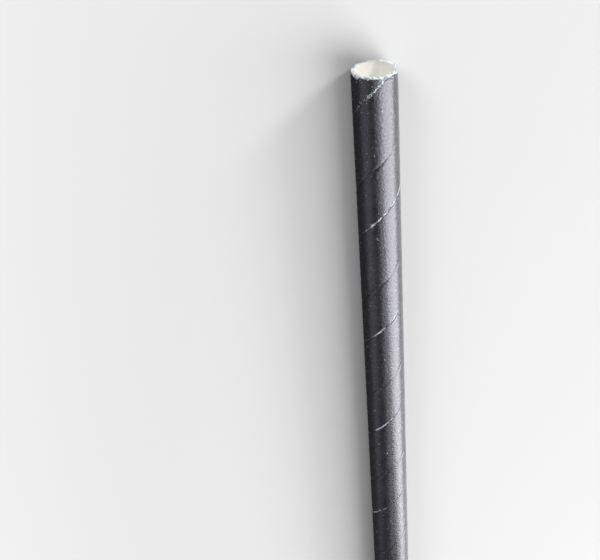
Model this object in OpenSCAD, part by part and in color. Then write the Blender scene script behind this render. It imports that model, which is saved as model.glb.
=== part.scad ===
// Paper drinking straw, spirally wound from strips of paper and cut square at both ends.
// It lies on its side with its length along Y, touching the floor at z = 0, and its mouth is at +Y.
// Sizes are in millimetres.

/* [Straw] */

// Outside diameter of the finished straw
straw_d = 6.0; // [5:0.5:12]
// Length from cut end to cut end
straw_len = 197.0; // [120:1:260]
// Depth of the narrow flat that the straw lies on, well under a paper tube's usual want of roundness
rest_flat_depth = 0.03; // [0.02:0.005:0.04]

/* [Paper] */

// Thickness of the black outer ply
outer_ply_t = 0.08; // [0.06:0.01:0.12]
// Thickness of the white plies beneath it, glued into one wall
inner_wall_t = 0.3; // [0.2:0.02:0.5]

/* [Winding] */

// Width of the strip that the outer ply is wound from
strip_w = 13.1; // [8:0.1:14]
// Gap left between neighbouring edges of the wound strip
seam_gap = 0.15; // [0.1:0.01:0.3]
// Where the seam meets the mouth, in degrees round from the top of the lying straw towards +X
seam_start_deg = 28; // [0:1:359]
// Length round the straw of each short place where the strip's edges touch
touch_len = 0.12; // [0.08:0.02:0.3]
// How far round each side of the straw's lowest line the seam is pressed shut, in degrees
rest_shut_deg = 16; // [15.5:0.5:20]

/* [Hidden] */

// Facets of the true cylinders when they are shown as a mesh
round_facets = 96;
// Open stretches of seam in one turn, with a touching place between each and the next
slits_per_turn = 8;
// Straight steps in one stretch
slit_steps = 3;
// How far the seam's cutter stands clear of the ply's two faces
cut_clear = 0.2;
// How far the bore's cutter runs past each end of the straw
end_over = 1.0;

straw_r = straw_d / 2;
ply_in_r = straw_r - outer_ply_t;
bore_r = ply_in_r - inner_wall_t;

// A strip wound round a tube climbs at the angle whose sine is its width over the girth
girth = PI * straw_d;
wind_deg = asin((strip_w + seam_gap) / girth);
seam_pitch = girth * tan(wind_deg);
// The seam's gap measured along the straw instead of square to the seam
gap_along = seam_gap / cos(wind_deg);

slit_deg = 360 / slits_per_turn;
touch_deg = 360 * touch_len / girth;
// Slits are counted from the one that starts at the bottom of the straw, just under the mouth
last_slit = ceil((seam_start_deg + 180) / slit_deg);
first_slit = last_slit - ceil(straw_len / seam_pitch * slits_per_turn) - 2;

// Height of the seam's middle on the standing straw, at an angle round from its underside.
// The seam climbs one pitch in a turn, as a right-handed screw.
function seam_height(deg) = straw_len / 2 + seam_pitch * (deg - 180 - seam_start_deg) / 360;

// The four corners of the seam's section at one angle
function seam_section(deg, r_in, r_out) = [
    for (corner = [[r_in, -1], [r_in, 1], [r_out, 1], [r_out, -1]])
        [corner[0] * cos(deg), corner[0] * sin(deg), seam_height(deg) + corner[1] * gap_along / 2]
];

// Half the width of a touching place, which is wider where the straw lies on the floor
function touch_half(place) = place % slits_per_turn == 0 ? rest_shut_deg : touch_deg / 2;

// Angle of one step of a slit, from the end of one touching place to the start of the next
function slit_angle(slit, step) =
    let (low = slit_deg * slit + touch_half(slit))
    let (high = slit_deg * (slit + 1) - touch_half(slit + 1))
    low + (high - low) * step / slit_steps;

// Side faces between one section and the next, in triangles that face outwards
function side_faces(step) = [
    for (k = [0:3])
        let (a = 4 * step + k)
        let (b = 4 * step + (k + 1) % 4)
        each [[a, b + 4, b], [a, a + 4, b + 4]]
];

// Cutter for one open stretch of the seam
module slit_cutter(slit) {
    points = [
        for (step = [0:slit_steps])
            each seam_section(slit_angle(slit, step), ply_in_r - cut_clear, straw_r + cut_clear)
    ];
    sides = [for (step = [0:slit_steps - 1]) each side_faces(step)];
    first_cap = [0, 1, 2, 3];
    last_cap = [for (k = [3:-1:0]) 4 * slit_steps + k];
    polyhedron(points = points, faces = concat([first_cap], sides, [last_cap]));
}

// Plain tube that stands on end, centred on its middle
module tube(r_out, r_in) {
    difference() {
        cylinder(r = r_out, h = straw_len, center = true, $fn = round_facets);
        cylinder(r = r_in, h = straw_len + 2 * end_over, center = true, $fn = round_facets);
    }
}

// Cutter for the narrow flat, on the side that angles count from
module rest_flat_cutter() {
    translate([straw_r - rest_flat_depth, -straw_r, -straw_len / 2 - end_over])
        cube([straw_r, straw_d, straw_len + 2 * end_over]);
}

// Lays a standing straw along Y, its mouth at +Y and its flat on the floor
module lay_down() {
    translate([0, 0, straw_r - rest_flat_depth])
        rotate([-90, 0, 0])
            rotate([0, 0, 90])
                children();
}

// The black strip, wound edge to edge with a hairline seam between its turns
module outer_ply() {
    color([0.05, 0.045, 0.06])
        lay_down()
            difference() {
                tube(straw_r, ply_in_r);
                rest_flat_cutter();
                for (slit = [first_slit:last_slit])
                    slit_cutter(slit);
            }
}

// The white plies beneath, one wall with the straw's true bore
module inner_tube() {
    color([0.95, 0.93, 0.89])
        lay_down()
            tube(ply_in_r, bore_r);
}

outer_ply();
inner_tube();
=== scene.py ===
"""Looks of a black paper drinking straw, wound from strips of paper and cut square at both ends.

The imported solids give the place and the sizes. The two plies are formed again here with what
real paper adds to them: a seam whose edges wander and fray, a faint furrow over the seam of the
strip beneath, chipped ends, loose fibres, and a satin surface with the grain of paper.
"""
import functools
import logging
import math
from dataclasses import dataclass, replace
from enum import Enum
from typing import Any, Mapping, Optional, Sequence, Union

import bmesh
import bpy
from mathutils import Matrix, Vector, noise

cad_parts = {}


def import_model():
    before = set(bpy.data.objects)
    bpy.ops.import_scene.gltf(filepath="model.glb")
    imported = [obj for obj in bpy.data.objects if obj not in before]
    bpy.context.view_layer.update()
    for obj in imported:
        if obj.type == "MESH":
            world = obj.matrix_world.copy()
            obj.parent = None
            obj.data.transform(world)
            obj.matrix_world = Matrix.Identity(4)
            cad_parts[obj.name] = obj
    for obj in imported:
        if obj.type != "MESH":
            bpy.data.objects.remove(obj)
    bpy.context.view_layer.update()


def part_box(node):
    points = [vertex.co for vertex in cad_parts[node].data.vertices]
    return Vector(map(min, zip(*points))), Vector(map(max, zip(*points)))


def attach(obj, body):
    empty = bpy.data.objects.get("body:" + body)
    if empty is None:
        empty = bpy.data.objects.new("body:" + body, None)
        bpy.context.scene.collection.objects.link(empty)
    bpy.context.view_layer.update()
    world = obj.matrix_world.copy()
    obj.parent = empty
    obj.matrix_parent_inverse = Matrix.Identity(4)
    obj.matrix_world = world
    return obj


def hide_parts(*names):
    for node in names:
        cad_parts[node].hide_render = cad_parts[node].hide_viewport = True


LOG = logging.getLogger("straw")
MM = 0.001
DEGREE = math.radians(1.0)

Colour = tuple[float, float, float]
Operand = Union["Term", float, int]

BACKDROP: Colour = (0.885, 0.885, 0.89)


# ---------------------------------------------------------------- sums on sockets


class Term:
    """One output socket of a node tree, on which sums can be written."""

    def __init__(self, graph: "Graph", socket: bpy.types.NodeSocket) -> None:
        """Keeps the socket and the graph that new nodes go into."""
        self.graph = graph
        self.socket = socket

    def _math(self, operation: str, *operands: Operand) -> "Term":
        """Adds one Math node that works on the given operands."""
        sockets = dict(enumerate(operands))
        return self.graph.term("ShaderNodeMath", {"operation": operation}, sockets)

    def __add__(self, other: Operand) -> "Term":
        """Sum of two numbers."""
        return self._math("ADD", self, other)

    def __radd__(self, other: Operand) -> "Term":
        """Sum of two numbers."""
        return self._math("ADD", other, self)

    def __sub__(self, other: Operand) -> "Term":
        """Difference of two numbers."""
        return self._math("SUBTRACT", self, other)

    def __rsub__(self, other: Operand) -> "Term":
        """Difference of two numbers, the other way round."""
        return self._math("SUBTRACT", other, self)

    def __mul__(self, other: Operand) -> "Term":
        """Product of two numbers."""
        return self._math("MULTIPLY", self, other)

    def __rmul__(self, other: Operand) -> "Term":
        """Product of two numbers."""
        return self._math("MULTIPLY", other, self)

    def __truediv__(self, other: Operand) -> "Term":
        """Quotient of two numbers."""
        return self._math("DIVIDE", self, other)

    def __rtruediv__(self, other: Operand) -> "Term":
        """Quotient of two numbers, the other way round."""
        return self._math("DIVIDE", other, self)

    def __pow__(self, other: Operand) -> "Term":
        """This number raised to a power."""
        return self._math("POWER", self, other)

    def __gt__(self, other: Operand) -> "Term":
        """1 where this is the greater number, otherwise 0."""
        return self._math("GREATER_THAN", self, other)

    def __lt__(self, other: Operand) -> "Term":
        """1 where this is the smaller number, otherwise 0."""
        return self._math("LESS_THAN", self, other)

    def __abs__(self) -> "Term":
        """This number without its sign."""
        return self._math("ABSOLUTE", self)

    def sine(self) -> "Term":
        """Sine of this angle in radians."""
        return self._math("SINE", self)

    def cosine(self) -> "Term":
        """Cosine of this angle in radians."""
        return self._math("COSINE", self)

    def rounded(self) -> "Term":
        """The nearest whole number."""
        return self._math("ROUND", self)

    def at_least(self, other: Operand) -> "Term":
        """The larger of two numbers."""
        return self._math("MAXIMUM", self, other)

    def at_most(self, other: Operand) -> "Term":
        """The smaller of two numbers."""
        return self._math("MINIMUM", self, other)

    def rise(self, low: Operand, high: Operand) -> "Term":
        """Smooth step from 0 at low to 1 at high."""
        sockets = {"Value": self, "From Min": low, "From Max": high}
        return self.graph.term("ShaderNodeMapRange", {"interpolation_type": "SMOOTHSTEP"}, sockets)

    def toward(self, other: Operand, share: Operand) -> "Term":
        """This number moved by a share of the way to another."""
        return self * (1.0 - share) + other * share


class Graph:
    """A node tree to which nodes are added."""

    def __init__(self, tree: bpy.types.NodeTree) -> None:
        """Keeps the tree."""
        self.tree = tree

    def node(
        self,
        kind: str,
        settings: Optional[Mapping[str, Any]] = None,
        sockets: Optional[Mapping[Union[str, int], Any]] = None,
    ) -> bpy.types.Node:
        """Adds a node.

        Args:
            kind: the node's type.
            settings: its own settings, and "stops" for the points of a float curve.
            sockets: values or links of its inputs, by name or number.

        Returns:
            The new node.
        """
        made = self.tree.nodes.new(kind)
        for name, value in (settings or {}).items():
            if name == "stops":
                self._set_stops(made, value)
            else:
                setattr(made, name, value)
        for key, value in (sockets or {}).items():
            self.feed(self.pick(made.inputs, key), value)
        return made

    def term(
        self,
        kind: str,
        settings: Optional[Mapping[str, Any]] = None,
        sockets: Optional[Mapping[Union[str, int], Any]] = None,
        output: Union[str, int] = 0,
    ) -> Term:
        """Adds a node for one of its outputs.

        Args:
            kind: the node's type.
            settings: its own settings, as in node.
            sockets: values or links of its inputs, as in node.
            output: the output's name, or 0 for the first one in use.

        Returns:
            The output.
        """
        made = self.node(kind, settings, sockets)
        if output == 0:
            return Term(self, next(s for s in made.outputs if s.enabled))
        return Term(self, self.pick(made.outputs, output))

    @staticmethod
    def pick(sockets: Any, key: Union[str, int]) -> bpy.types.NodeSocket:
        """Finds a socket.

        Args:
            sockets: a node's inputs or its outputs.
            key: the socket's number, or its name among those in use.

        Returns:
            The socket.
        """
        if isinstance(key, int):
            return sockets[key]
        return next(s for s in sockets if s.name == key and s.enabled)

    def feed(self, socket: bpy.types.NodeSocket, value: Any) -> None:
        """Gives an input what it reads.

        Args:
            socket: the input.
            value: a term to link to it, or the input's own value.
        """
        if isinstance(value, Term):
            self.tree.links.new(value.socket, socket)
        else:
            socket.default_value = value

    @staticmethod
    def _set_stops(made: bpy.types.Node, stops: Sequence[tuple[float, float]]) -> None:
        """Sets the points of a float curve, with straight lines between them.

        Args:
            made: the float curve.
            stops: place and height of each point, in their order.
        """
        curve = made.mapping.curves[0]
        while len(curve.points) < len(stops):
            curve.points.new(0.5, 0.5)
        for point, (place, height) in zip(curve.points, stops):
            point.location = (place, height)
            point.handle_type = "VECTOR"
        made.mapping.update()

    def parts(self, vector: Term) -> tuple[Term, Term, Term]:
        """The three parts of a vector."""
        made = self.node("ShaderNodeSeparateXYZ", None, {0: vector})
        return Term(self, made.outputs[0]), Term(self, made.outputs[1]), Term(self, made.outputs[2])

    def vector(self, x: Operand, y: Operand, z: Operand) -> Term:
        """A vector from three numbers."""
        return self.term("ShaderNodeCombineXYZ", None, {0: x, 1: y, 2: z})

    def grain(
        self,
        place: Term,
        scale: float,
        detail: float = 2.0,
        roughness: float = 0.5,
        dimensions: str = "3D",
    ) -> Term:
        """Smooth noise from 0 to 1.

        Args:
            place: where it is read, a vector, or a number for noise along a line.
            scale: waves in one unit of place.
            detail: how many finer octaves are added.
            roughness: how strong those octaves are.
            dimensions: 1D for a number, otherwise 3D.

        Returns:
            The noise.
        """
        sockets = {
            "W" if dimensions == "1D" else "Vector": place,
            "Scale": scale,
            "Detail": detail,
            "Roughness": roughness,
        }
        return self.term("ShaderNodeTexNoise", {"noise_dimensions": dimensions}, sockets)

    def tint(self, share: Operand, low: Union[Term, Colour], high: Union[Term, Colour]) -> Term:
        """Colour between two colours.

        Args:
            share: how far from the first to the second, from 0 to 1.
            low: the first colour.
            high: the second colour.

        Returns:
            The colour.
        """
        ends = [c if isinstance(c, Term) else (*c, 1.0) for c in (low, high)]
        sockets = {"Factor": share, "A": ends[0], "B": ends[1]}
        return self.term("ShaderNodeMix", {"data_type": "RGBA"}, sockets)


class Former(Graph):
    """A Geometry Nodes tree with named sizes, which forms one plain mesh."""

    def __init__(self, name: str, sizes: Mapping[str, Union[int, float]]) -> None:
        """Starts a tree with its inputs.

        Args:
            name: the tree's name.
            sizes: what each input gets on the piece, by the input's name.
        """
        super().__init__(bpy.data.node_groups.new(name, "GeometryNodeTree"))
        sockets = self.tree.interface
        sockets.new_socket("Geometry", in_out="OUTPUT", socket_type="NodeSocketGeometry")
        self.values: dict[str, Union[int, float]] = {}
        for label, value in sizes.items():
            kind = "NodeSocketInt" if isinstance(value, int) else "NodeSocketFloat"
            made = sockets.new_socket(label, in_out="INPUT", socket_type=kind)
            self.values[made.identifier] = value
        self.entry = self.tree.nodes.new("NodeGroupInput")

    def __getitem__(self, name: str) -> Term:
        """The size that goes in under a name."""
        return Term(self, self.pick(self.entry.outputs, name))

    def chance(self, low: float, high: float, seed: int) -> Term:
        """A random number for each point."""
        sockets = {"Min": low, "Max": high, "Seed": seed}
        return self.term("FunctionNodeRandomValue", {"data_type": "FLOAT"}, sockets)

    def keep(self, geometry: Term, name: str, value: Term, kind: str = "FLOAT") -> Term:
        """Stores a value on every point under a name, for the material to read."""
        sockets = {"Geometry": geometry, "Name": name, "Value": value}
        return self.term("GeometryNodeStoreNamedAttribute", {"data_type": kind}, sockets)

    def close(self, geometry: Term, material: bpy.types.Material) -> Term:
        """Makes real what is instanced and gives it its finish."""
        real = self.term("GeometryNodeRealizeInstances", None, {"Geometry": geometry})
        return self.term("GeometryNodeSetMaterial", None, {"Geometry": real, "Material": material})

    def build(self, name: str, geometry: Term) -> bpy.types.Object:
        """Evaluates the tree on a holder object.

        Args:
            name: the piece's name.
            geometry: what the tree ends in.

        Returns:
            An object with the result as a plain mesh and no modifier.
        """
        last = self.tree.nodes.new("NodeGroupOutput")
        self.feed(last.inputs[0], geometry)
        piece = bpy.data.objects.new(name, bpy.data.meshes.new(name))
        bpy.context.scene.collection.objects.link(piece)
        form = piece.modifiers.new("form", "NODES")
        form.node_group = self.tree
        for identifier, value in self.values.items():
            form[identifier] = value
        scene_graph = bpy.context.evaluated_depsgraph_get()
        formed = piece.evaluated_get(scene_graph)
        mesh = bpy.data.meshes.new_from_object(
            formed, preserve_all_data_layers=True, depsgraph=scene_graph
        )
        piece.modifiers.remove(form)
        piece.data = mesh
        mesh.name = name
        return piece


class Surface(Graph):
    """A material's tree, with its Principled shader."""

    def __init__(self, name: str, **constants: Any) -> None:
        """Starts a material.

        Args:
            name: the material's name.
            constants: values that are the same all over, by socket name with _ for spaces.
        """
        self.material = bpy.data.materials.new(name)
        self.material.use_nodes = True
        super().__init__(self.material.node_tree)
        self.shader = next(n for n in self.tree.nodes if n.type == "BSDF_PRINCIPLED")
        for key, value in constants.items():
            self.shader.inputs[key.replace("_", " ")].default_value = value

    def place(self) -> Term:
        """Place on the piece in millimetres."""
        held = self.term("ShaderNodeTexCoord", None, None, "Object")
        return self.term("ShaderNodeVectorMath", {"operation": "SCALE"}, {0: held, "Scale": 1.0 / MM})

    def read(self, name: str, output: str = "Fac") -> Term:
        """Value that the piece's mesh holds under a name."""
        return self.term("ShaderNodeAttribute", {"attribute_name": name}, None, output)

    def dress(self, colour: Term, roughness: Term, height: Term, depth: float) -> None:
        """Links what varies over the surface.

        Args:
            colour: the base colour.
            roughness: the roughness.
            height: relief from 0 to 1.
            depth: how deep the relief is, in metres.
        """
        self.feed(self.shader.inputs["Base Color"], colour)
        self.feed(self.shader.inputs["Roughness"], roughness)
        bump = self.term("ShaderNodeBump", None, {"Height": height, "Distance": depth, "Strength": 1.0})
        self.feed(self.shader.inputs["Normal"], bump)


# ---------------------------------------------------------------- sizes


@dataclass(frozen=True)
class StrawSizes:
    """The straw's sizes in metres and degrees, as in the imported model."""

    radius: float = 3.0 * MM
    length: float = 197.0 * MM
    flat_depth: float = 0.03 * MM
    outer_ply: float = 0.08 * MM
    inner_wall: float = 0.30 * MM
    strip_width: float = 13.1 * MM
    seam_gap: float = 0.15 * MM
    seam_start: float = 28.0

    @property
    def axis_height(self) -> float:
        """Height of the straw's axis over the floor."""
        return self.radius - self.flat_depth

    @property
    def ply_inside(self) -> float:
        """Radius at which the black ply meets the white ones."""
        return self.radius - self.outer_ply

    @property
    def bore(self) -> float:
        """Radius of the bore."""
        return self.ply_inside - self.inner_wall

    @property
    def girth(self) -> float:
        """Length once round the outside."""
        return 2 * math.pi * self.radius

    @property
    def wind_angle(self) -> float:
        """Angle between the seam and a ring round the straw, in radians."""
        return math.asin((self.strip_width + self.seam_gap) / self.girth)

    @property
    def pitch(self) -> float:
        """Climb of the seam in one turn."""
        return self.girth * math.tan(self.wind_angle)

    @property
    def gap_along(self) -> float:
        """The seam's gap measured along the straw."""
        return self.seam_gap / math.cos(self.wind_angle)

    @property
    def seam_mm_per_degree(self) -> float:
        """Length of seam in one degree of winding, in millimetres."""
        return math.hypot(self.girth, self.pitch) / MM / 360.0

    @property
    def turns(self) -> float:
        """Turns that the strip makes, with the two that the cut ends shorten."""
        return self.length / self.pitch + 1.0


class CutEnd(Enum):
    """The two cut ends, by the way that each one faces along Y."""

    MOUTH = 1
    FOOT = -1


# ---------------------------------------------------------------- finishes


@dataclass(frozen=True)
class BlackPaper:
    """Dyed black paper with a satin face, fine grain and pale specks where it is rubbed."""

    dark: Colour = (0.0065, 0.0060, 0.0080)
    light: Colour = (0.0175, 0.0165, 0.0210)
    rubbed: Colour = (0.42, 0.44, 0.47)
    sheen: Colour = (0.915, 0.903, 1.0)
    fibre_scale: float = 2.6
    fibre_shape: float = 2.1
    pore_scale: float = 3.4
    speck_scale: float = 3.3
    speck_from: float = 0.742
    speck_to: float = 0.782
    smoothest: float = 0.21
    grain_depth: float = 0.021 * MM

    def make(self) -> bpy.types.Material:
        """Builds the material.

        Returns:
            The material, which reads the strip's lie and its wear from the mesh.
        """
        sheen = (*self.sheen, 1.0)
        skin = Surface("black_paper", Specular_IOR_Level=1.0, IOR=1.5, Specular_Tint=sheen)
        along, across, _ = skin.parts(skin.read("strip", "Vector"))
        laid = skin.vector(along, across * self.fibre_shape, 0.0)
        fibres = skin.grain(laid, self.fibre_scale, 4.0, 0.62)
        pores = skin.grain(skin.place(), self.pore_scale, 1.0, 0.55).rise(0.32, 0.68)
        cloudy = skin.grain(laid, 0.35, 2.0)
        height = fibres * 0.35 + pores * 0.65
        specks = skin.grain(skin.place(), self.speck_scale, 1.0, 0.5)
        patches = skin.grain(skin.place(), 1.1, 2.0)
        worn = specks + skin.read("wear") * (0.03 + patches * 0.17)
        rubbed = worn.rise(self.speck_from, self.speck_to)
        dyed = skin.tint((fibres * 0.6 + cloudy * 0.7).rise(0.40, 0.85), self.dark, self.light)
        roughness = self.smoothest + pores * 0.12 + cloudy * 0.05 + rubbed * 0.35
        skin.dress(skin.tint(rubbed, dyed, self.rubbed), roughness, height, self.grain_depth)
        return skin.material


@dataclass(frozen=True)
class WhitePaper:
    """Uncoated white paper, warm in the bore and cooler where it is cut, greyed by painted shade on the
    tube's outside where it shows in the seam.

    The grey gives way to white in some stretches, each given by its first and last place along the
    straw, in millimetres from its middle, and by how white it is. Near the mouth the white is the
    paper's own; on the seam's turns it is painted light, strongest where the seam crosses the lit side.
    """

    warm: Colour = (0.935, 0.925, 0.85)
    warm_shade: Colour = (0.88, 0.87, 0.80)
    cool: Colour = (0.76, 0.83, 0.86)
    cool_shade: Colour = (0.34, 0.40, 0.44)
    # painted shade: grey tones for the tube's outside, which dim the white seen in the seam
    glue: Colour = (0.24, 0.26, 0.285)
    painted_shade_pale: Colour = (0.68, 0.73, 0.77)
    # stretches of white: the paper's own near the mouth, painted light on the seam's turns
    painted_light_stretches: tuple[tuple[float, float, float], ...] = (
        (97.4, 99.0, 1.0), (79.2, 82.6, 0.75), (77.3, 78.7, 0.40), (60.9, 62.0, 0.85),
        (58.9, 59.7, 0.35), (39.4, 40.4, 0.35),
    )
    painted_light_fade: float = 0.5
    felt_depth: float = 0.012 * MM

    def make(self) -> bpy.types.Material:
        """Builds the material.

        Returns:
            The material, which reads from the mesh where the paper is cut and where the painted grey
            shade goes.
        """
        skin = Surface("white_paper", Specular_IOR_Level=0.3, IOR=1.5)
        cut = skin.read("cut")
        felt = skin.grain(skin.place(), 5.2, 4.0, 0.65)
        cloudy = skin.grain(skin.place(), 0.9, 2.0)
        torn = skin.grain(skin.place(), 2.4, 2.0, 0.6)
        shade = skin.tint(cut, self.warm_shade, self.cool_shade)
        clean = skin.tint(cut, self.warm, self.cool)
        whole = (felt * 0.4 + torn * 0.6 - cut * 0.05).rise(0.38, 0.52)
        paper = skin.tint(whole, shade, clean)
        # painted shade: the tube's outside is greyed, except in the stretches of white
        glued = skin.tint((felt * 0.5 + cloudy * 0.5).rise(0.36, 0.58), self.glue, self.painted_shade_pale)
        colour = skin.tint(skin.read("glued") * (1.0 - self._painted_light(skin)), paper, glued)
        skin.dress(colour, 0.80 + felt * 0.15, felt, self.felt_depth)
        return skin.material

    def _painted_light(self, skin: Surface) -> Term:
        """How far the painted grey shade gives way to white, which on the seam's turns is painted
        light.

        Args:
            skin: the material's tree.

        Returns:
            A share from 0 to 1.
        """
        _, along, _ = skin.parts(skin.place())
        fade = self.painted_light_fade
        stretches = [
            along.rise(first - fade, first) * (1.0 - along.rise(last, last + fade)) * white
            for first, last, white in self.painted_light_stretches
        ]
        return functools.reduce(Term.at_least, stretches)


@dataclass(frozen=True)
class CutEdgePaper:
    """The torn and cut edge of the black ply, where its pale core shows."""

    core: Colour = (0.62, 0.69, 0.73)
    dyed: Colour = (0.07, 0.07, 0.085)
    felt_scale: float = 3.6
    felt_depth: float = 0.008 * MM

    def make(self) -> bpy.types.Material:
        """Builds the material.

        Returns:
            The material.
        """
        skin = Surface("cut_edge", Specular_IOR_Level=0.3)
        felt = skin.grain(skin.place(), self.felt_scale, 3.0, 0.6)
        colour = skin.tint(felt.rise(0.40, 0.56), self.dyed, self.core)
        skin.dress(colour, 0.80 + felt * 0.15, felt, self.felt_depth)
        return skin.material


@dataclass(frozen=True)
class PaleFloor:
    """Plain pale floor with a hint of tone. Rays other than the camera's see painted light and painted
    shade on it: pale on the lamps' side and nearly black on the far side.

    Far from the straw the camera sees it fade into the pale backdrop, sooner across the straw
    than along it.
    """

    pale: Colour = (0.545, 0.545, 0.55)
    paler: Colour = (0.57, 0.57, 0.57)
    # painted light and painted shade, which the straw reflects: floor tones that only rays other than
    # the camera's see
    painted_light_tone: Colour = (0.80, 0.80, 0.80)
    painted_shade_tone: Colour = (0.07, 0.07, 0.07)
    painted_light_from: float = 2.0 * MM
    fade_from: float = 0.10
    fade_to: float = 0.20
    fade_across: float = 2.8
    relief: float = 0.1 * MM

    def make(self) -> bpy.types.Material:
        """Builds the material.

        Returns:
            The material.
        """
        skin = Surface("pale_floor", Specular_IOR_Level=0.0, Emission_Strength=1.0)
        held = skin.term("ShaderNodeTexCoord", None, None, "Object")
        soft = skin.grain(held, 3.0, 2.0)
        x, y, _ = skin.parts(held)
        painted_light_side = x.rise(-self.painted_light_from, self.painted_light_from)
        seen = skin.term("ShaderNodeLightPath", None, None, "Is Camera Ray")
        wide = x * self.fade_across
        faded = ((wide * wide + y * y) ** 0.5).rise(self.fade_from, self.fade_to) * seen
        tone = skin.tint(soft, self.pale, self.paler)
        # painted light and painted shade: to rays other than the camera's, the floor is pale on the
        # lamps' side and dark on the far side
        colour = skin.tint(seen, skin.tint(painted_light_side, self.painted_shade_tone, self.painted_light_tone), tone)
        black = (0.0, 0.0, 0.0)
        skin.dress(skin.tint(faded, colour, black), 0.85 + soft * 0.05, soft, self.relief)
        skin.feed(skin.shader.inputs["Emission Color"], skin.tint(faded, black, BACKDROP))
        return skin.material


# ---------------------------------------------------------------- pieces


class StripEdge(Enum):
    """The strip's two edges, by where each one starts to read its raggedness."""

    LOW = 11.0
    HIGH = 57.0


@dataclass(frozen=True)
class Seam:
    """How the seam between the strip's edges opens and closes along its length.

    Its places are lengths of seam in millimetres, counted from the mouth. Each is given with how
    open the seam is there, as a share of its even gap. Past the span the opening is left to chance.
    """

    open_shares: tuple[tuple[float, float], ...] = (
        (0.0, 1.80), (1.4, 1.75), (3.5, 1.05), (3.9, 0.15), (4.6, 0.35), (5.1, 0.10),
        (5.7, 0.34), (8.5, 0.22), (11.0, 0.10), (15.0, 0.65), (19.0, 1.10), (22.0, 1.80),
        (26.3, 1.55), (26.6, 0.08), (26.9, 1.40), (29.6, 1.40), (30.4, 1.60), (30.9, 0.75),
        (32.5, 0.30), (36.0, 0.20), (41.0, 0.75), (46.0, 0.40), (49.5, 0.08), (51.7, 0.15),
        (52.0, 1.80), (53.7, 1.70), (54.1, 0.10), (54.9, 0.12), (55.2, 1.75), (56.8, 1.50),
        (58.2, 0.45), (60.8, 0.15), (66.0, 0.70), (72.0, 0.25), (78.5, 0.20), (80.5, 0.90),
        (81.5, 1.50), (84.3, 1.50), (84.9, 0.15), (90.0, 0.20),
    )
    span: float = 90.0
    span_fade: float = 4.0
    widest: float = 1.8
    closed: float = 0.006 * MM
    ragged: float = 0.110 * MM
    drift_scale: float = 0.16
    drift_start: float = 40.0
    tooth_scale: float = 2.3

    def half_gap(self, tree: Graph, place: Term, gap: Term, edge: StripEdge) -> Term:
        """Half of the gap at a place, with the raggedness of one edge.

        Args:
            tree: the tree that the nodes go into.
            place: length of seam from the mouth, in millimetres.
            gap: the even gap along the straw, in metres.
            edge: which edge of the strip.

        Returns:
            Half of the gap along the straw, in metres.
        """
        stops = [(at / self.span, share / self.widest) for at, share in self.open_shares]
        curve = {"Factor": 1.0, "Value": place / self.span}
        seen = tree.term("ShaderNodeFloatCurve", {"stops": stops}, curve) * self.widest
        drift = tree.grain(place + self.drift_start, self.drift_scale, 1.0, 0.5, "1D").rise(0.38, 0.62)
        past_span = place.rise(self.span - self.span_fade, self.span)
        share = seen.toward(drift * 1.1 + 0.05, past_span)
        teeth = tree.grain(place + edge.value, self.tooth_scale, 3.0, 0.6, "1D").rise(0.30, 0.70) - 0.5
        # the edges fray most near the mouth
        fray = 0.45 + 0.9 * (1.0 - place.rise(4.0, 9.0))
        half = gap * 0.5 * share + teeth * fray * self.ragged * share.at_most(1.0) * 2.0
        return half.at_least(self.closed)


@dataclass(frozen=True)
class StripPoint:
    """A point of the wound strip, in the strip's tree.

    Its place is the length of seam from the mouth, in millimetres. Its angle goes from the top
    towards +X, in radians, and along is its place along the straw. From_seam is how far along
    the straw the seam below is, as a share of the pitch. Across goes from 0 at the strip's low
    edge to 1 at its high edge, and under is 1 on the strip's back, otherwise 0.
    """

    tree: Former
    place: Term
    angle: Term
    along: Term
    from_seam: Term
    across: Term
    under: Term


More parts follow.
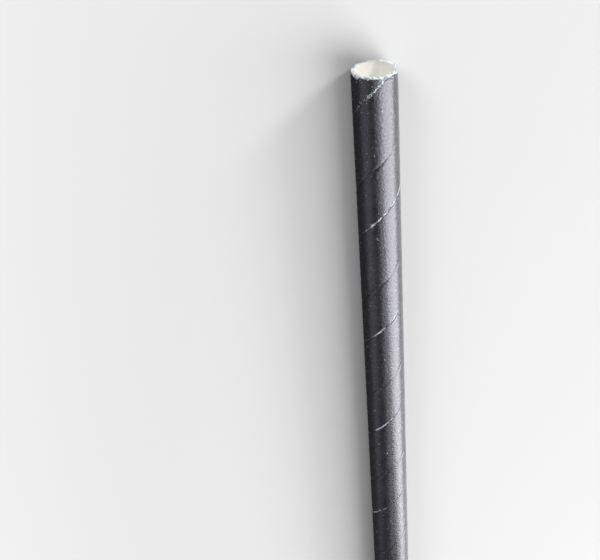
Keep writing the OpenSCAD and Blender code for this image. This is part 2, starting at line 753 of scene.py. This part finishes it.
@dataclass
class OuterPly:
    """The black strip, wound as a right-handed screw with its edges nearly touching.

    The strip is a grid with one row after another across its face, round its edge and back
    under it, so that it closes on itself. Its columns follow the winding from the mouth.
    """

    sizes: StrawSizes
    seam: Seam
    paper: bpy.types.Material
    cut_edge: bpy.types.Material
    mouth_turns: float = 1.3
    mouth_columns: int = 440
    columns_per_turn: int = 105
    face_rows: int = 34
    back_rows: int = 3
    edge_rows: int = 3
    tip_degrees: float = 2.5
    tip_share: float = 0.0002
    row_pull: float = 0.06
    least_width: float = 0.01 * MM
    merge: float = 0.0005 * MM
    furrow_place: float = 0.425
    furrow_depth: float = 0.068 * MM
    furrow_half: float = 0.32
    chip_depth: float = 0.40 * MM
    chip_least: float = 0.36
    chip_shift: float = 4.0
    brim: float = 0.010 * MM
    brim_share: float = 0.0001
    wave: float = 0.010 * MM
    fine_wave: float = 0.35
    worn_end: float = 1.8 * MM
    worn_seam: float = 0.045
    side_slack: float = 0.05

    @property
    def columns(self) -> int:
        """Columns of the grid, which stand closer on the first turns."""
        later_turns = self.sizes.turns - self.mouth_turns
        return self.mouth_columns + round(self.columns_per_turn * later_turns)

    def _tree(self) -> Former:
        """Starts the strip's tree, with its sizes as inputs."""
        s = self.sizes
        sizes = {
            "Radius": s.radius,
            "Ply Thickness": s.outer_ply,
            "Length": s.length,
            "Pitch": s.pitch,
            "Seam Gap": s.gap_along,
            "Seam Start": s.seam_start,
            "Turns": s.turns,
            "Axis Height": s.axis_height,
            "Flat Depth": s.flat_depth,
            "Columns": self.columns,
            "Rows": self.face_rows + self.back_rows + self.edge_rows,
        }
        return Former("wound_strip", sizes)

    def form(self) -> bpy.types.Object:
        """Winds the strip with Geometry Nodes.

        Returns:
            The piece.
        """
        tree = self._tree()
        rows, turns, pitch = tree["Rows"], tree["Turns"], tree["Pitch"]
        sockets = {"Size X": 1.0, "Size Y": 1.0, "Vertices X": tree["Columns"], "Vertices Y": rows}
        grid = tree.term("GeometryNodeMeshGrid", None, sockets, "Mesh")
        share, level, _ = tree.parts(tree.term("GeometryNodeInputPosition"))
        wound = self._wound(share + 0.5, turns)
        turned = self.tip_degrees + (turns * 360.0 - 2 * self.tip_degrees) * wound
        across, under = self._across(((level + 0.5) * (rows - 1.0)).rounded())
        place = turned * self.sizes.seam_mm_per_degree
        angle = (tree["Seam Start"] - turned) * DEGREE
        seam = tree["Length"] * 0.5 - pitch * turned / 360.0
        low, high = self._edges(tree, turned, angle, seam)
        low = low.toward(high, abs(wound - 0.5) > 0.5 - self.tip_share)
        along = low + (high - low) * across
        point = StripPoint(tree, place, angle, along, (along - seam) / pitch, across, under)
        reach = self._reach(point)
        height = (tree["Axis Height"] + reach * angle.cosine()).at_least(under * tree["Flat Depth"])
        # the sums read the grid's own place, so what is kept is stored before it is moved
        kept = tree.keep(grid, "strip", self._laid_flat(point), "FLOAT_VECTOR")
        kept = tree.keep(kept, "wear", self._wear(point))
        kept = tree.keep(kept, "side", under)
        spot = tree.vector(reach * angle.sine(), along, height)
        formed = tree.term("GeometryNodeSetPosition", None, {"Geometry": kept, "Position": spot})
        return tree.build("black_outer_ply", self._finished(tree, formed))

    def _wound(self, share: Term, turns: Term) -> Term:
        """How much of the strip is wound at a column.

        Args:
            share: place of the column among all, from 0 to 1.
            turns: turns that the whole strip makes.

        Returns:
            A share of all the turns, from 0 at the mouth to 1.
        """
        mouth_share = self.mouth_columns / self.columns
        early = share.at_most(mouth_share) / mouth_share
        late = (share - mouth_share).at_least(0.0) / (1.0 - mouth_share)
        return early * self.mouth_turns / turns + late * (turns - self.mouth_turns) / turns

    def _across(self, row: Term) -> tuple[Term, Term]:
        """Where a row lies across the strip.

        Args:
            row: the row's number, from the face's first to the edge's last.

        Returns:
            Place from the low edge, 0, to the high edge, 1, and 1 for the back, otherwise 0.
        """
        face = (row / float(self.face_rows)).at_most(1.0)
        evenly = face - (face * 4 * math.pi).sine() * self.row_pull
        pulled = evenly - evenly * (1.0 - evenly) * (2.0 - 4 * self.furrow_place)
        back_first = self.face_rows + 0.5
        back_last = self.face_rows + self.back_rows + 1.5
        under = (row > back_first) * (row < back_last)
        last = row > back_last
        back = (self.face_rows + self.back_rows + 1.0 - row) / float(self.back_rows)
        return pulled * (1.0 - under) * (1.0 - last) + back * under, under

    def _edges(self, tree: Former, turned: Term, angle: Term, seam: Term) -> tuple[Term, Term]:
        """The strip's edges, ragged at the seam and chipped where the straw is cut.

        Args:
            tree: the strip's tree.
            turned: degrees of winding from the mouth.
            angle: angle from the top towards +X, in radians.
            seam: where the seam below the strip lies along the straw.

        Returns:
            Places of the low and the high edge along the straw.
        """
        half_length = tree["Length"] * 0.5
        per_degree = self.sizes.seam_mm_per_degree
        gap = tree["Seam Gap"]
        open_low = self.seam.half_gap(tree, turned * per_degree, gap, StripEdge.LOW)
        open_high = self.seam.half_gap(tree, (turned - 360.0) * per_degree, gap, StripEdge.HIGH)
        radius = self.sizes.radius / MM
        ring = tree.vector(angle.sine() * radius, angle.cosine() * radius, 0.0)
        mouth = half_length - self._chips(tree, ring, CutEnd.MOUTH)
        foot = self._chips(tree, ring, CutEnd.FOOT) - half_length
        high = (seam + tree["Pitch"] - open_high).at_most(mouth).at_least(foot)
        low = (seam + open_low).at_least(foot).at_most(high - self.least_width)
        return low, high

    def _chips(self, tree: Former, ring: Term, end: CutEnd) -> Term:
        """How far the cut end of the ply has chipped back, round the straw.

        Args:
            tree: the strip's tree.
            ring: place on a ring of the straw's radius, in millimetres.
            end: which end.

        Returns:
            The depth in metres.
        """
        shift = (0.0, 0.0, self.chip_shift * end.value)
        shifted = tree.term("ShaderNodeVectorMath", {"operation": "ADD"}, {0: ring, 1: shift})
        broad = tree.grain(shifted, 0.8, 2.0, 0.6).rise(0.40, 0.62)
        fine = tree.grain(shifted, 2.0, 2.0, 0.7).rise(0.38, 0.62)
        return (self.chip_least + broad * 0.28 + fine * (0.30 + broad * 0.40)) * self.chip_depth

    def _reach(self, point: StripPoint) -> Term:
        """Distance from the straw's axis, with the furrow, the paper's waves and the brim.

        Args:
            point: a point of the strip.

        Returns:
            The distance.
        """
        tree = point.tree
        radius = self.sizes.radius / MM
        from_furrow = abs(point.from_seam - self.furrow_place) * (tree["Pitch"] / MM)
        furrow = 1.0 - from_furrow.rise(0.0, self.furrow_half)
        furrow_here = tree.grain(point.place, 0.22, 1.0, 0.5, "1D").rise(0.30, 0.55)
        sine, cosine = point.angle.sine(), point.angle.cosine()
        spot = tree.vector(sine * radius, point.along / MM, cosine * radius)
        ripple = tree.grain(spot, 0.42, 1.0) + tree.grain(spot, 1.3, 1.0) * self.fine_wave
        ripple = ripple - 0.5 * (1.0 + self.fine_wave)
        brim = (abs(point.across - 0.5) > 0.5 - self.brim_share) * (1.0 - point.under)
        return (
            tree["Radius"]
            - tree["Ply Thickness"] * point.under
            - furrow * (0.60 + furrow_here * 0.40) * self.furrow_depth
            + ripple * self.wave
            - brim * self.brim
        )

    def _laid_flat(self, point: StripPoint) -> Term:
        """Place on the strip as it lay before it was wound, for its grain to follow.

        Args:
            point: a point of the strip.

        Returns:
            The place in millimetres, along the strip and across it.
        """
        round_way = point.angle * (point.tree["Radius"] / MM)
        along = point.along / MM
        sine, cosine = math.sin(self.sizes.wind_angle), math.cos(self.sizes.wind_angle)
        down = round_way * cosine + along * sine
        return point.tree.vector(down, along * cosine - round_way * sine, 0.0)

    def _wear(self, point: StripPoint) -> Term:
        """How worn the face is: most along the seam near the mouth, and at the cut ends.

        Args:
            point: a point of the strip.

        Returns:
            A share from 0 to 1.
        """
        near_seam = 1.0 - (0.5 - abs(point.from_seam - 0.5)).rise(0.0, self.worn_seam)
        frayed = near_seam * (0.25 + 0.75 * (1.0 - abs(point.place - 2.5).rise(3.0, 9.0)))
        from_end = point.tree["Length"] * 0.5 - abs(point.along)
        return frayed.at_least(1.0 - from_end.rise(0.0, self.worn_end))

    def _finished(self, tree: Former, formed: Term) -> Term:
        """Closes the strip's skin and gives its face and its edges their finishes.

        Args:
            tree: the strip's tree.
            formed: the wound grid.

        Returns:
            The finished strip.
        """
        sockets = {"Geometry": formed, "Distance": self.merge}
        merged = tree.term("GeometryNodeMergeByDistance", None, sockets)
        side = tree.term("GeometryNodeInputNamedAttribute", {"data_type": "FLOAT"}, {"Name": "side"})
        # side is 0 on the face and 1 on the back, and the walls at the strip's edges lie between
        wall = (side > self.side_slack) * (side < 1.0 - self.side_slack)
        sockets = {"Geometry": merged, "Selection": 1.0 - wall, "Shade Smooth": True}
        smooth = tree.term("GeometryNodeSetShadeSmooth", None, sockets)
        dressed = tree.close(smooth, self.paper)
        sockets = {"Geometry": dressed, "Selection": side > self.side_slack, "Material": self.cut_edge}
        return tree.term("GeometryNodeSetMaterial", None, sockets)

    def make(self) -> bpy.types.Object:
        """Forms the ply and puts it in the frame.

        Returns:
            The piece.
        """
        piece = self.form()
        close_up(piece)
        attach(piece, "root")
        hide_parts("outer_ply")
        return piece


@dataclass(frozen=True)
class WallCorner:
    """A corner of the white wall's section, and its shares of the two burrs."""

    radius: float
    along: float
    burr: float = 0.0
    lip: float = 0.0


@dataclass
class InnerTube:
    """The white plies in one wall, with the bore, cut square at both ends.

    The cutter has left a fibrous burr on each cut face, and one round its inner corner, the lip.
    """

    sizes: StrawSizes
    paper: bpy.types.Material
    columns: int = 144
    ring_step: float = 4.0 * MM
    burr: float = 0.035 * MM
    corner: float = 0.025 * MM
    lip: float = 0.10 * MM
    fibre_scale: float = 2.2
    sharp_degrees: float = 35.0
    slack: float = 0.0001 * MM

    def _section(self) -> list[WallCorner]:
        """Lists the corners of the wall's section.

        Returns:
            The corners, in order round the section.
        """
        s = self.sizes
        half = s.length / 2
        steps = round((s.length - 2 * self.corner) / self.ring_step)
        straight = [(half - self.corner) * (2 * k / steps - 1) for k in range(steps + 1)]
        mouth = [
            WallCorner(s.ply_inside - self.corner, half, 0.6),
            WallCorner(s.ply_inside - s.inner_wall * 0.35, half, 1.0),
            WallCorner(s.ply_inside - s.inner_wall * 0.65, half, 0.9, 0.3),
            WallCorner(s.bore + self.corner, half, 0.5, 1.0),
        ]
        foot = [replace(corner, along=-half) for corner in reversed(mouth)]
        up = [WallCorner(s.ply_inside, along) for along in straight]
        down = [WallCorner(s.bore, along) for along in reversed(straight)]
        return [*up, *mouth, *down, *foot]

    def _point(self, corner: WallCorner, turn: float) -> Vector:
        """A point of the wall, roughened by the burrs.

        Args:
            corner: the corner of the section that it belongs to.
            turn: angle from the top towards +X, in radians.

        Returns:
            The point.
        """
        side = Vector((math.sin(turn), 0.0, math.cos(turn)))
        spot = side * (corner.radius / MM) * self.fibre_scale + Vector((0.0, corner.along, 0.0))
        rough = 0.5 + 0.5 * noise.noise(spot) + 0.3 * noise.noise(spot * 2.7)
        drop = min(max(rough, 0.0), 1.2) * self.burr * corner.burr
        inward = min(max(1.1 - rough, 0.2), 1.1) * self.lip * corner.lip
        point = side * (corner.radius - inward) + Vector((0.0, corner.along, self.sizes.axis_height))
        point.y -= math.copysign(drop, corner.along)
        return point

    def form(self) -> bpy.types.Object:
        """Turns the section round the axis.

        Returns:
            The piece.
        """
        s = self.sizes
        shell = bmesh.new()
        cut = shell.verts.layers.float.new("cut")
        # marks the tube's outside, which the white paper greys as painted shade
        glued = shell.verts.layers.float.new("glued")
        rings = []
        for corner in self._section():
            ring = []
            for k in range(self.columns):
                vert = shell.verts.new(self._point(corner, 2 * math.pi * k / self.columns))
                vert[cut] = 0.0 if corner.radius < s.bore + self.slack else 1.0
                vert[glued] = 1.0 if corner.radius > s.ply_inside - self.slack else 0.0
                ring.append(vert)
            rings.append(ring)
        for ring, after in zip(rings, rings[1:] + rings[:1]):
            for k in range(self.columns):
                n = (k + 1) % self.columns
                face = shell.faces.new((ring[k], ring[n], after[n], after[k]))
                face.smooth = True
        return self._object(shell)

    def _object(self, shell: bmesh.types.BMesh) -> bpy.types.Object:
        """Turns the faces outwards, marks the sharp rims and makes the object.

        Args:
            shell: the wall's skin, which is freed.

        Returns:
            The piece.
        """
        bmesh.ops.recalc_face_normals(shell, faces=shell.faces)
        for edge in shell.edges:
            edge.smooth = edge.calc_face_angle(0.0) < math.radians(self.sharp_degrees)
        mesh = bpy.data.meshes.new("white_inner_tube")
        shell.to_mesh(mesh)
        shell.free()
        mesh.materials.append(self.paper)
        piece = bpy.data.objects.new("white_inner_tube", mesh)
        bpy.context.scene.collection.objects.link(piece)
        return piece

    def make(self) -> bpy.types.Object:
        """Forms the tube and puts it in the frame.

        Returns:
            The piece.
        """
        piece = self.form()
        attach(piece, "root")
        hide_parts("inner_tube")
        return piece


@dataclass(frozen=True)
class FibreTuft:
    """A stretch of seam or rim that loose fibres stand along.

    Along the seam it goes from one length of seam to another, in millimetres from the mouth,
    and round a rim from one angle to another, in degrees from the top. Lean is how far fibres
    along the seam stand out of it.
    """

    count: int
    first: float
    last: float
    shortest: float
    longest: float
    seed: int
    lean: float = 0.0


@dataclass
class PaperFibres:
    """Loose white fibres along the seam and round the cut ends."""

    sizes: StrawSizes
    paper: bpy.types.Material
    thickness: float = 0.038 * MM
    root: float = 0.06
    tip: float = 0.02
    rooted: float = 0.03 * MM
    pressed: float = -0.55
    moved_round: float = 150.0
    spin: float = 6.28
    foot_seed: int = 60
    seam_tufts: tuple[FibreTuft, ...] = (
        FibreTuft(120, 0.0, 4.2, 0.14 * MM, 0.40 * MM, 3, 0.12),
        FibreTuft(14, 5.4, 8.0, 0.10 * MM, 0.25 * MM, 5, 0.15),
        FibreTuft(90, 21.0, 26.3, 0.12 * MM, 0.30 * MM, 6, 0.05),
        FibreTuft(40, 26.9, 29.6, 0.12 * MM, 0.28 * MM, 7, 0.05),
        FibreTuft(16, 30.15, 30.65, 0.20 * MM, 0.42 * MM, 8, 0.25),
        FibreTuft(90, 8.0, 110.0, 0.08 * MM, 0.22 * MM, 13, 0.12),
        FibreTuft(110, 110.0, 275.0, 0.08 * MM, 0.22 * MM, 21, 0.12),
    )
    rim_tuft: FibreTuft = FibreTuft(250, -125.0, 125.0, 0.06 * MM, 0.21 * MM, 34)

    def _tree(self) -> Former:
        """Starts the fibres' tree, with its sizes as inputs."""
        s = self.sizes
        sizes = {
            "Length": s.length,
            "Pitch": s.pitch,
            "Seam Gap": s.gap_along,
            "Seam Start": s.seam_start,
            "Axis Height": s.axis_height,
            "Ply Inside": s.ply_inside,
            "Wall Thickness": s.inner_wall,
            "Fibre Thickness": self.thickness,
        }
        return Former("loose_fibres", sizes)

    def _hair(self, tree: Former) -> Term:
        """One tapered fibre that stands on its root along Z, a unit long, with a curl.

        Args:
            tree: the fibres' tree.

        Returns:
            The fibre.
        """
        sockets = {
            "Vertices": 4,
            "Side Segments": 4,
            "Radius Top": self.tip,
            "Radius Bottom": self.root,
            "Depth": 1.0,
        }
        cone = tree.term("GeometryNodeMeshCone", None, sockets, "Mesh")
        _, _, up = tree.parts(tree.term("GeometryNodeInputPosition"))
        curl = tree.vector(up * up * 0.17, up * up * up * 0.10, 0.0)
        return tree.term("GeometryNodeSetPosition", None, {"Geometry": cone, "Offset": curl})

    def _stand(self, tree: Former, tuft: FibreTuft, spot: Term, way: Term) -> Term:
        """Stands fibres on the points of one tuft.

        Args:
            tree: the fibres' tree.
            tuft: how many, how long, and the seed.
            spot: place of each root.
            way: the way that each fibre points.

        Returns:
            The instances.
        """
        sockets = {"Count": tuft.count, "Position": spot, "Radius": MM}
        points = tree.term("GeometryNodePoints", None, sockets)
        sockets = {"Factor": 1.0, "Vector": way}
        turn = tree.term("FunctionNodeAlignRotationToVector", {"axis": "Z"}, sockets)
        sockets = {"Axis": (0.0, 0.0, 1.0), "Angle": tree.chance(0.0, self.spin, tuft.seed + 6)}
        spin = tree.term("FunctionNodeAxisAngleToRotation", None, sockets)
        sockets = {"Rotation": turn, "Rotate By": spin}
        turned = tree.term("FunctionNodeRotateRotation", {"rotation_space": "LOCAL"}, sockets)
        tall = tree.chance(tuft.shortest, tuft.longest, tuft.seed + 7)
        stoutness = tree["Fibre Thickness"] / (2 * self.root)
        thick = tree.chance(0.7, 1.3, tuft.seed + 8) * stoutness
        sockets = {
            "Points": points,
            "Instance": self._hair(tree),
            "Rotation": turned,
            "Scale": tree.vector(thick, thick, tall),
        }
        return tree.term("GeometryNodeInstanceOnPoints", None, sockets)

    def _seam_fibres(self, tree: Former, tuft: FibreTuft) -> Term:
        """Fibres that lie out of the seam, over the strip's edges.

        Args:
            tree: the fibres' tree.
            tuft: the stretch of seam that they stand along.

        Returns:
            The instances.
        """
        start = tree["Seam Start"]
        place = tree.chance(tuft.first, tuft.last, tuft.seed)
        turned = place / self.sizes.seam_mm_per_degree
        # under the straw a fibre would be pressed flat, so it is moved round to the side
        low = ((start - turned) * DEGREE).cosine() < self.pressed
        angle = (start - turned + low * self.moved_round) * DEGREE
        aside = tree.chance(-0.5, 0.5, tuft.seed + 1) * tree["Seam Gap"]
        climbed = (turned - low * self.moved_round) * (tree["Pitch"] / 360.0)
        along = tree["Length"] * 0.5 - climbed + aside
        reach = tree["Ply Inside"] + self.rooted
        spot = tree.vector(
            angle.sine() * reach, along, angle.cosine() * reach + tree["Axis Height"]
        )
        over = tree.chance(-1.0, 1.0, tuft.seed + 3)
        round_way = tree.chance(-0.7, 0.7, tuft.seed + 4)
        lean = tuft.lean + tree.chance(0.0, 0.22, tuft.seed + 2)
        out = lean * (abs(over) + abs(round_way))
        return self._stand(tree, tuft, spot, self._way(tree, angle, out, round_way, over))

    def _rim_fibres(self, tree: Former, tuft: FibreTuft, end: CutEnd) -> Term:
        """Fibres that stand out of a cut end.

        Args:
            tree: the fibres' tree.
            tuft: the stretch of rim that they stand along.
            end: which end.

        Returns:
            The instances.
        """
        seed = tuft.seed + (0 if end is CutEnd.MOUTH else self.foot_seed)
        angle = tree.chance(tuft.first, tuft.last, seed) * DEGREE
        depth = tree.chance(0.0, 1.0, seed + 1)
        reach = tree["Ply Inside"] - depth * depth * tree["Wall Thickness"] * 0.9
        spot = tree.vector(
            angle.sine() * reach,
            (tree["Length"] * 0.5 - self.rooted) * end.value,
            angle.cosine() * reach + tree["Axis Height"],
        )
        round_way = tree.chance(-0.9, 0.9, seed + 3)
        out = tree.chance(-0.3, 0.45, seed + 2) * (0.3 + abs(round_way))
        over = tree.chance(-0.1, 0.8, seed + 4) * end.value
        return self._stand(tree, tuft, spot, self._way(tree, angle, out, round_way, over))

    @staticmethod
    def _way(tree: Former, angle: Term, out: Term, round_way: Term, over: Term) -> Term:
        """The way that a fibre points.

        Args:
            tree: the fibres' tree.
            angle: angle of its root from the top towards +X, in radians.
            out: how far it points out of the straw.
            round_way: how far it points round the straw.
            over: how far it points along the straw.

        Returns:
            A vector of any length.
        """
        return tree.vector(
            angle.sine() * out + angle.cosine() * round_way,
            over,
            angle.cosine() * out - angle.sine() * round_way,
        )

    def form(self) -> bpy.types.Object:
        """Stands the fibres with Geometry Nodes.

        Returns:
            The piece.
        """
        tree = self._tree()
        groups = [self._seam_fibres(tree, tuft) for tuft in self.seam_tufts]
        groups += [self._rim_fibres(tree, self.rim_tuft, end) for end in CutEnd]
        joined = tree.node("GeometryNodeJoinGeometry")
        for group in reversed(groups):
            tree.feed(joined.inputs[0], group)
        closed = tree.close(Term(tree, joined.outputs[0]), self.paper)
        return tree.build("paper_fibres", closed)

    def make(self) -> bpy.types.Object:
        """Forms the fibres and puts them in the frame.

        Returns:
            The piece.
        """
        piece = self.form()
        mark_cut(piece)
        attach(piece, "root")
        return piece


def close_up(piece: bpy.types.Object) -> None:
    """Removes faces without area and turns the rest outwards.

    Args:
        piece: a piece whose mesh should be closed.
    """
    shell = bmesh.new()
    shell.from_mesh(piece.data)
    bmesh.ops.dissolve_degenerate(shell, edges=shell.edges, dist=0.0004 * MM)
    loose = [v for v in shell.verts if not v.link_faces]
    bmesh.ops.delete(shell, geom=loose, context="VERTS")
    bmesh.ops.recalc_face_normals(shell, faces=shell.faces)
    open_edges = sum(not e.is_manifold for e in shell.edges)
    LOG.info("%s: %d edges that don't join two faces", piece.name, open_edges)
    shell.to_mesh(piece.data)
    shell.free()


def mark_cut(piece: bpy.types.Object) -> None:
    """Marks every point of a piece as cut paper, for the white paper's tone."""
    layer = piece.data.attributes.new("cut", "FLOAT", "POINT")
    layer.data.foreach_set("value", [1.0] * len(piece.data.vertices))


# ---------------------------------------------------------------- stage


@dataclass(frozen=True)
class Softbox:
    """A soft rectangular lamp. Its level is how bright its face is, where 1 is white."""

    name: str
    place: tuple[float, float, float]
    aim: tuple[float, float, float]
    width: float
    height: float
    level: float

    def make(self) -> None:
        """Hangs the lamp, out of the camera's sight."""
        lamp = bpy.data.lights.new(self.name, "AREA")
        lamp.shape = "RECTANGLE"
        lamp.size = self.width
        lamp.size_y = self.height
        lamp.energy = self.level * math.pi * self.width * self.height
        held = bpy.data.objects.new(self.name, lamp)
        held.location = self.place
        facing = Vector(self.aim) - Vector(self.place)
        held.rotation_euler = facing.to_track_quat("-Z", "Y").to_euler()
        held.visible_camera = False
        bpy.context.scene.collection.objects.link(held)


@dataclass
class Studio:
    """Pale floor, plain sky and the soft lamps."""

    floor: bpy.types.Material
    reach: float = 3.0
    sky: Colour = (0.97, 0.98, 1.0)
    sky_level: float = 0.11
    lamps: tuple[Softbox, ...] = (
        Softbox(
            name="low_softbox", place=(0.36, -0.225, 0.1725), aim=(0.0, -0.225, 0.1725),
            width=0.55, height=0.34, level=5.4,
        ),
        Softbox(
            name="high_softbox", place=(0.36, -0.275, 0.6425), aim=(0.0, -0.275, 0.6425),
            width=0.65, height=0.60, level=4.6,
        ),
        Softbox(
            name="wide_softbox", place=(0.37, -0.25, 0.55), aim=(0.0, -0.25, 0.55),
            width=0.62, height=1.10, level=1.3,
        ),
        Softbox(
            name="front_softbox", place=(0.43, 0.45, 0.17), aim=(0.0, 0.09, 0.0),
            width=0.12, height=0.12, level=63.0,
        ),
        Softbox(
            name="fill_softbox", place=(-0.30, 0.50, 0.30), aim=(0.0, 0.09, 0.0),
            width=0.30, height=0.30, level=6.2,
        ),
        Softbox(
            name="top_softbox", place=(0.14, -0.50, 0.95), aim=(0.14, -0.50, 0.0),
            width=0.44, height=1.20, level=1.45,
        ),
        Softbox(
            name="side_softbox", place=(-0.80, -0.45, 0.53), aim=(0.0, -0.45, 0.53),
            width=0.90, height=0.86, level=0.50,
        ),
    )

    def make(self) -> None:
        """Lays the floor, hangs the lamps, lights the sky and sets the view's tones."""
        self._lay_floor()
        for lamp in self.lamps:
            lamp.make()
        self._light_sky()
        bpy.context.scene.view_settings.view_transform = "Standard"

    def _lay_floor(self) -> None:
        """Lays the floor under the straw."""
        mesh = bpy.data.meshes.new("floor")
        r = self.reach
        mesh.from_pydata([(-r, -r, 0), (r, -r, 0), (r, r, 0), (-r, r, 0)], [], [(0, 1, 2, 3)])
        mesh.materials.append(self.floor)
        ground = bpy.data.objects.new("floor", mesh)
        bpy.context.scene.collection.objects.link(ground)

    def _light_sky(self) -> None:
        """Lights the sky, which the camera sees as the pale backdrop."""
        world = bpy.data.worlds.new("plain_sky")
        world.use_nodes = True
        air = Graph(world.node_tree)
        kind = "ShaderNodeBackground"
        sky = air.term(kind, None, {"Color": (*self.sky, 1.0), "Strength": self.sky_level})
        backdrop = air.term(kind, None, {"Color": (*BACKDROP, 1.0), "Strength": 1.0})
        seen = air.term("ShaderNodeLightPath", None, None, "Is Camera Ray")
        both = air.term("ShaderNodeMixShader", None, {0: seen, 1: sky, 2: backdrop})
        end = next(n for n in world.node_tree.nodes if n.type == "OUTPUT_WORLD")
        air.feed(end.inputs["Surface"], both)
        bpy.context.scene.world = world


@dataclass(frozen=True)
class ViewingCamera:
    """The camera, at the photograph's angle to the straw."""

    place: tuple[float, float, float] = (-11.73 * MM, 145.69 * MM, 117.06 * MM)
    right: tuple[float, float, float] = (0.9956, -0.0769, 0.0527)
    up: tuple[float, float, float] = (0.0932, 0.8215, -0.5625)
    lens: float = 57.78
    sensor: float = 36.0
    nearest: float = 0.005
    farthest: float = 20.0

    def make(self) -> None:
        """Sets the camera up and gives it to the scene."""
        seen = bpy.data.cameras.new("viewing_camera")
        seen.sensor_fit = "HORIZONTAL"
        seen.sensor_width = self.sensor
        seen.lens = self.lens
        seen.clip_start = self.nearest
        seen.clip_end = self.farthest
        camera = bpy.data.objects.new("viewing_camera", seen)
        right = Vector(self.right).normalized()
        up = Vector(self.up)
        up = (up - right * up.dot(right)).normalized()
        turned = Matrix((right, up, right.cross(up))).transposed()
        camera.matrix_world = Matrix.Translation(self.place) @ turned.to_4x4()
        bpy.context.scene.collection.objects.link(camera)
        bpy.context.scene.camera = camera


def report(piece: bpy.types.Object) -> None:
    """Logs a piece's name, triangles and box in millimetres.

    Args:
        piece: a finished piece.
    """
    mesh = piece.data
    mesh.calc_loop_triangles()
    spots = [v.co / MM for v in mesh.vertices]
    low = [round(min(p[k] for p in spots), 3) for k in range(3)]
    high = [round(max(p[k] for p in spots), 3) for k in range(3)]
    LOG.info("%s: %d triangles, from %s to %s mm", piece.name, len(mesh.loop_triangles), low, high)


def main() -> None:
    """Builds the pieces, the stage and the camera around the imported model."""
    logging.basicConfig(level=logging.INFO, format="%(name)s: %(message)s")
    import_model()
    sizes = StrawSizes()
    box_low, box_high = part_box("outer_ply")
    across, along, _ = (box_high - box_low) / MM
    LOG.info("packed ply: %.3f mm across, %.3f mm long", across, along)
    ViewingCamera().make()
    white = WhitePaper().make()
    ply = OuterPly(sizes, Seam(), BlackPaper().make(), CutEdgePaper().make())
    report(ply.make())
    report(InnerTube(sizes, white).make())
    report(PaperFibres(sizes, white).make())
    Studio(PaleFloor().make()).make()


if __name__ == "__main__":
    main()
